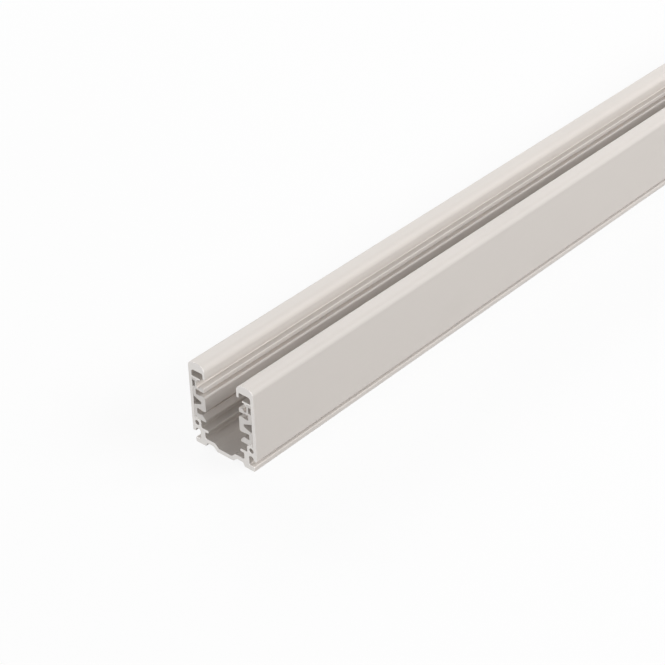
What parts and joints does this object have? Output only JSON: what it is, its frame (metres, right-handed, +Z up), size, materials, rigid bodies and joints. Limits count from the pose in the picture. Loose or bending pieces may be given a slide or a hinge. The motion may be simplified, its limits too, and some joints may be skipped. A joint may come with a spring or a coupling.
{
  "type": "three-phase lighting track",
  "caption": "Straight length of lighting track: a white lipped aluminium channel holding insulating strips with copper conductors, with a slot along its top for lamp adaptors.",
  "frame": {"origin": "under the middle of the track, in the plane of its back, on which it lies", "axes": "+X along the track, +Y across it towards the left strip, +Z up out of the slot"},
  "size_m": [1, 0.032, 0.036],
  "materials": {
    "white_powder_coat": "satin",
    "insulating_pvc": "satin",
    "conductor_copper": "satin"
  },
  "bodies": {
    "root": {"track_profile": "white_powder_coat", "insulating_strip_left": "insulating_pvc", "insulating_strip_right": "insulating_pvc", "conductor_phase_1": "conductor_copper", "conductor_phase_2": "conductor_copper", "conductor_phase_3": "conductor_copper", "conductor_neutral": "conductor_copper"}
  },
  "joints": []
}
